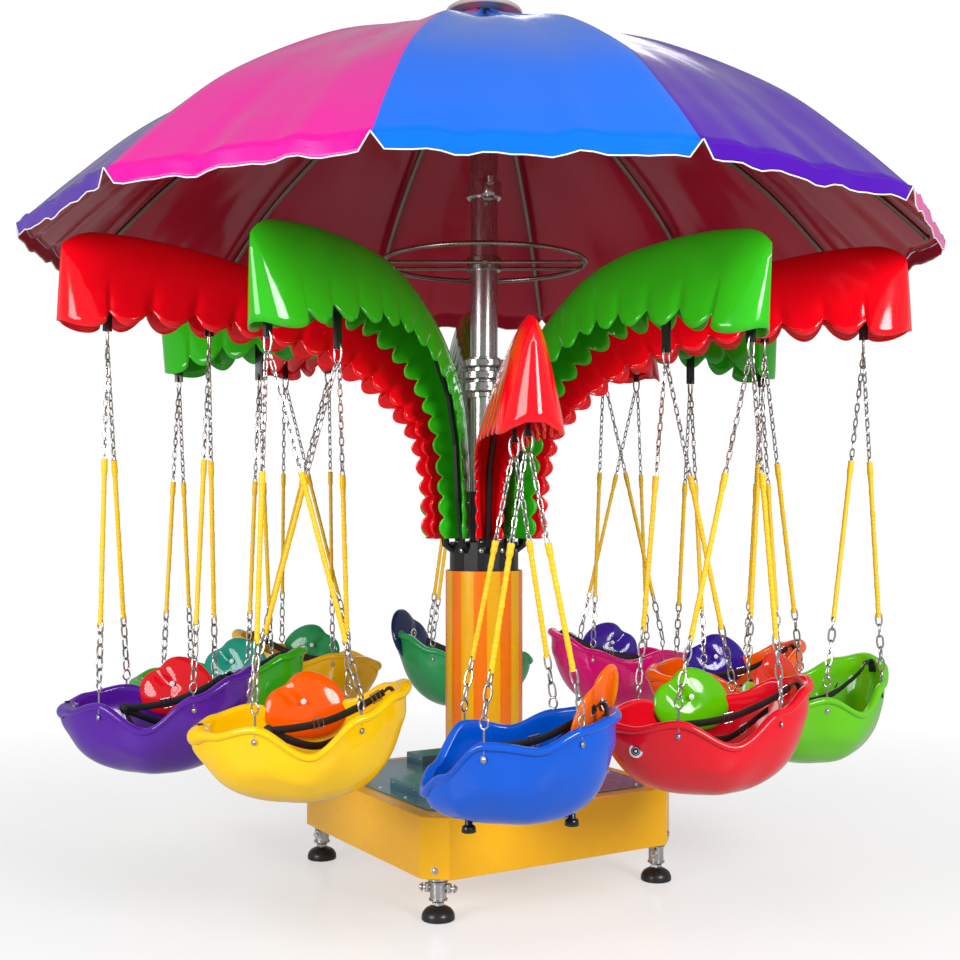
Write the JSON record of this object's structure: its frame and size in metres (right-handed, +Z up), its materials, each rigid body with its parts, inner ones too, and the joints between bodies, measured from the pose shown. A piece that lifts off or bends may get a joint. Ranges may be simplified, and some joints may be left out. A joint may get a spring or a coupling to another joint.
{
  "type": "chair swing ride",
  "caption": "Small children's chair swing ride: hanging bucket seats on palm-frond arms that turn under a panelled umbrella canopy.",
  "frame": {"origin": "on the floor under the column's axis", "axes": "+Z up along the column, X and Y along the base's sides"},
  "size_m": [3.2416, 3.2416, 3.2353],
  "materials": {
    "base_yellow": "glossy golden yellow paint on sheet steel",
    "plate_slate": "blue-grey painted sheet steel, semi-gloss",
    "cover_stripes": "upright yellow and orange stripes, glossy",
    "black_steel": "black painted steel",
    "silver_steel": "bright zinc-plated tube",
    "rib_steel": "grey-brown plated tube",
    "canopy_cloth": "glossy coated cloth in violet, magenta and blue panels",
    "cap_grey": "warm grey cap",
    "foot_steel": "plated levelling foot with a black pad",
    "leaf_red": "glossy red gel-coated frond",
    "leaf_green": "glossy green gel-coated frond",
    "rope_yellow": "yellow sleeve over plated chain",
    "seat_1": "glossy moulded blue shell with a contrasting insert",
    "seat_2": "glossy moulded red shell with a contrasting insert",
    "seat_3": "glossy moulded lime shell with a contrasting insert",
    "seat_4": "glossy moulded orange shell with a contrasting insert",
    "seat_5": "glossy moulded magenta shell with a contrasting insert",
    "seat_6": "glossy moulded teal green shell with a contrasting insert",
    "seat_7": "glossy moulded gold shell with a contrasting insert",
    "seat_8": "glossy moulded green shell with a contrasting insert",
    "seat_9": "glossy moulded purple shell with a contrasting insert",
    "seat_10": "glossy moulded yellow shell with a contrasting insert"
  },
  "bodies": {
    "frame": {"base_box": "base_yellow", "base_plate": "plate_slate", "foot_1": "foot_steel", "foot_2": "foot_steel", "foot_3": "foot_steel", "foot_4": "foot_steel", "column_cover": "cover_stripes", "column_post": "black_steel"},
    "rotor": {"arm_spider": "black_steel", "head_column": "silver_steel", "flange_stack": "silver_steel", "canopy_pole": "silver_steel", "crank_collar": "silver_steel", "hoop_ring": "silver_steel", "canopy_ribs": "rib_steel", "canopy_cover": "canopy_cloth", "top_cap": "cap_grey", "leaf_1": "leaf_red", "leaf_2": "leaf_green", "leaf_3": "leaf_red", "leaf_4": "leaf_green", "leaf_5": "leaf_red", "leaf_6": "leaf_green", "leaf_7": "leaf_red", "leaf_8": "leaf_green", "leaf_9": "leaf_red", "leaf_10": "leaf_green"},
    "outer_1": {"hanger_outer_1": "rope_yellow"},
    "inner_1": {"hanger_inner_1": "rope_yellow"},
    "chair_1": {"seat_1": "seat_1"},
    "outer_2": {"hanger_outer_2": "rope_yellow"},
    "inner_2": {"hanger_inner_2": "rope_yellow"},
    "chair_2": {"seat_2": "seat_2"},
    "outer_3": {"hanger_outer_3": "rope_yellow"},
    "inner_3": {"hanger_inner_3": "rope_yellow"},
    "chair_3": {"seat_3": "seat_3"},
    "outer_4": {"hanger_outer_4": "rope_yellow"},
    "inner_4": {"hanger_inner_4": "rope_yellow"},
    "chair_4": {"seat_4": "seat_4"},
    "outer_5": {"hanger_outer_5": "rope_yellow"},
    "inner_5": {"hanger_inner_5": "rope_yellow"},
    "chair_5": {"seat_5": "seat_5"},
    "outer_6": {"hanger_outer_6": "rope_yellow"},
    "inner_6": {"hanger_inner_6": "rope_yellow"},
    "chair_6": {"seat_6": "seat_6"},
    "outer_7": {"hanger_outer_7": "rope_yellow"},
    "inner_7": {"hanger_inner_7": "rope_yellow"},
    "chair_7": {"seat_7": "seat_7"},
    "outer_8": {"hanger_outer_8": "rope_yellow"},
    "inner_8": {"hanger_inner_8": "rope_yellow"},
    "chair_8": {"seat_8": "seat_8"},
    "outer_9": {"hanger_outer_9": "rope_yellow"},
    "inner_9": {"hanger_inner_9": "rope_yellow"},
    "chair_9": {"seat_9": "seat_9"},
    "outer_10": {"hanger_outer_10": "rope_yellow"},
    "inner_10": {"hanger_inner_10": "rope_yellow"},
    "chair_10": {"seat_10": "seat_10"}
  },
  "joints": [
    {"name": "rotor_spin", "type": "hinge", "parent": "frame", "child": "rotor", "pos_m": [0, 0, 1.06], "axis": [0, 0, 1], "continuous": true},
    {"name": "swing_1", "type": "hinge", "parent": "rotor", "child": "outer_1", "pos_m": [-0.61129, -1.22606, 1.56], "axis": [-0.8949, 0.4462, 0], "range_deg": [-2, 12]},
    {"name": "level_1", "type": "hinge", "parent": "outer_1", "child": "chair_1", "pos_m": [-0.61129, -1.22606, 0.775], "axis": [-0.8949, 0.4462, 0], "range_deg": [-13, 3]},
    {"name": "follow_1", "type": "hinge", "parent": "rotor", "child": "inner_1", "pos_m": [-0.45958, -0.92178, 1.56], "axis": [-0.8949, 0.4462, 0], "range_deg": [-3, 13]},
    {"name": "swing_2", "type": "hinge", "parent": "rotor", "child": "outer_2", "pos_m": [0.20466, -1.22299, 1.87], "axis": [-0.9863, -0.165, 0], "range_deg": [-2, 12]},
    {"name": "level_2", "type": "hinge", "parent": "outer_2", "child": "chair_2", "pos_m": [0.20466, -1.22299, 0.775], "axis": [-0.9863, -0.165, 0], "range_deg": [-13, 3]},
    {"name": "follow_2", "type": "hinge", "parent": "rotor", "child": "inner_2", "pos_m": [0.14854, -0.88766, 1.87], "axis": [-0.9863, -0.165, 0], "range_deg": [-3, 13]},
    {"name": "swing_3", "type": "hinge", "parent": "rotor", "child": "outer_3", "pos_m": [0.97715, -0.96025, 1.96], "axis": [-0.7009, -0.7133, 0], "range_deg": [-2, 12]},
    {"name": "level_3", "type": "hinge", "parent": "outer_3", "child": "chair_3", "pos_m": [0.97715, -0.96025, 0.775], "axis": [-0.7009, -0.7133, 0], "range_deg": [-13, 3]},
    {"name": "follow_3", "type": "hinge", "parent": "rotor", "child": "inner_3", "pos_m": [0.73465, -0.72194, 1.96], "axis": [-0.7009, -0.7133, 0], "range_deg": [-3, 13]},
    {"name": "swing_4", "type": "hinge", "parent": "rotor", "child": "outer_4", "pos_m": [1.22638, -0.18328, 1.87], "axis": [-0.1478, -0.989, 0], "range_deg": [-2, 12]},
    {"name": "level_4", "type": "hinge", "parent": "outer_4", "child": "chair_4", "pos_m": [1.22638, -0.18328, 0.775], "axis": [-0.1478, -0.989, 0], "range_deg": [-13, 3]},
    {"name": "follow_4", "type": "hinge", "parent": "rotor", "child": "inner_4", "pos_m": [0.89011, -0.13303, 1.87], "axis": [-0.1478, -0.989, 0], "range_deg": [-3, 13]},
    {"name": "swing_5", "type": "hinge", "parent": "rotor", "child": "outer_5", "pos_m": [1.2152, 0.6326, 1.96], "axis": [0.4617, -0.887, 0], "range_deg": [-2, 12]},
    {"name": "level_5", "type": "hinge", "parent": "outer_5", "child": "chair_5", "pos_m": [1.2152, 0.6326, 0.775], "axis": [0.4617, -0.887, 0], "range_deg": [-13, 3]},
    {"name": "follow_5", "type": "hinge", "parent": "rotor", "child": "inner_5", "pos_m": [0.91362, 0.4756, 1.96], "axis": [0.4617, -0.887, 0], "range_deg": [-3, 13]},
    {"name": "swing_6", "type": "hinge", "parent": "rotor", "child": "outer_6", "pos_m": [0.55329, 1.10972, 1.87], "axis": [0.8949, -0.4462, 0], "range_deg": [-2, 12]},
    {"name": "level_6", "type": "hinge", "parent": "outer_6", "child": "chair_6", "pos_m": [0.55329, 1.10972, 0.775], "axis": [0.8949, -0.4462, 0], "range_deg": [-13, 3]},
    {"name": "follow_6", "type": "hinge", "parent": "rotor", "child": "inner_6", "pos_m": [0.40158, 0.80544, 1.87], "axis": [0.8949, -0.4462, 0], "range_deg": [-3, 13]},
    {"name": "swing_7", "type": "hinge", "parent": "rotor", "child": "outer_7", "pos_m": [-0.22612, 1.35121, 1.96], "axis": [0.9863, 0.165, 0], "range_deg": [-2, 12]},
    {"name": "level_7", "type": "hinge", "parent": "outer_7", "child": "chair_7", "pos_m": [-0.22612, 1.35121, 0.775], "axis": [0.9863, 0.165, 0], "range_deg": [-13, 3]},
    {"name": "follow_7", "type": "hinge", "parent": "rotor", "child": "inner_7", "pos_m": [-0.17, 1.01587, 1.96], "axis": [0.9863, 0.165, 0], "range_deg": [-3, 13]},
    {"name": "swing_8", "type": "hinge", "parent": "rotor", "child": "outer_8", "pos_m": [-0.88443, 0.86913, 1.87], "axis": [0.7009, 0.7133, 0], "range_deg": [-2, 12]},
    {"name": "level_8", "type": "hinge", "parent": "outer_8", "child": "chair_8", "pos_m": [-0.88443, 0.86913, 0.775], "axis": [0.7009, 0.7133, 0], "range_deg": [-13, 3]},
    {"name": "follow_8", "type": "hinge", "parent": "rotor", "child": "inner_8", "pos_m": [-0.64193, 0.63082, 1.87], "axis": [0.7009, 0.7133, 0], "range_deg": [-3, 13]},
    {"name": "swing_9", "type": "hinge", "parent": "rotor", "child": "outer_9", "pos_m": [-1.35495, 0.2025, 1.96], "axis": [0.1478, 0.989, 0], "range_deg": [-2, 12]},
    {"name": "level_9", "type": "hinge", "parent": "outer_9", "child": "chair_9", "pos_m": [-1.35495, 0.2025, 0.775], "axis": [0.1478, 0.989, 0], "range_deg": [-13, 3]},
    {"name": "follow_9", "type": "hinge", "parent": "rotor", "child": "inner_9", "pos_m": [-1.01869, 0.15224, 1.96], "axis": [0.1478, 0.989, 0], "range_deg": [-3, 13]},
    {"name": "swing_10", "type": "hinge", "parent": "rotor", "child": "outer_10", "pos_m": [-1.09989, -0.57257, 1.87], "axis": [-0.4617, 0.887, 0], "range_deg": [-2, 12]},
    {"name": "level_10", "type": "hinge", "parent": "outer_10", "child": "chair_10", "pos_m": [-1.09989, -0.57257, 0.775], "axis": [-0.4617, 0.887, 0], "range_deg": [-13, 3]},
    {"name": "follow_10", "type": "hinge", "parent": "rotor", "child": "inner_10", "pos_m": [-0.79831, -0.41557, 1.87], "axis": [-0.4617, 0.887, 0], "range_deg": [-3, 13]}
  ],
  "couplings": [
    {"joint": "level_1", "follows": "swing_1", "ratio": -1},
    {"joint": "follow_1", "follows": "swing_1", "ratio": 1},
    {"joint": "level_2", "follows": "swing_2", "ratio": -1},
    {"joint": "follow_2", "follows": "swing_2", "ratio": 1},
    {"joint": "level_3", "follows": "swing_3", "ratio": -1},
    {"joint": "follow_3", "follows": "swing_3", "ratio": 1},
    {"joint": "level_4", "follows": "swing_4", "ratio": -1},
    {"joint": "follow_4", "follows": "swing_4", "ratio": 1},
    {"joint": "level_5", "follows": "swing_5", "ratio": -1},
    {"joint": "follow_5", "follows": "swing_5", "ratio": 1},
    {"joint": "level_6", "follows": "swing_6", "ratio": -1},
    {"joint": "follow_6", "follows": "swing_6", "ratio": 1},
    {"joint": "level_7", "follows": "swing_7", "ratio": -1},
    {"joint": "follow_7", "follows": "swing_7", "ratio": 1},
    {"joint": "level_8", "follows": "swing_8", "ratio": -1},
    {"joint": "follow_8", "follows": "swing_8", "ratio": 1},
    {"joint": "level_9", "follows": "swing_9", "ratio": -1},
    {"joint": "follow_9", "follows": "swing_9", "ratio": 1},
    {"joint": "level_10", "follows": "swing_10", "ratio": -1},
    {"joint": "follow_10", "follows": "swing_10", "ratio": 1}
  ]
}
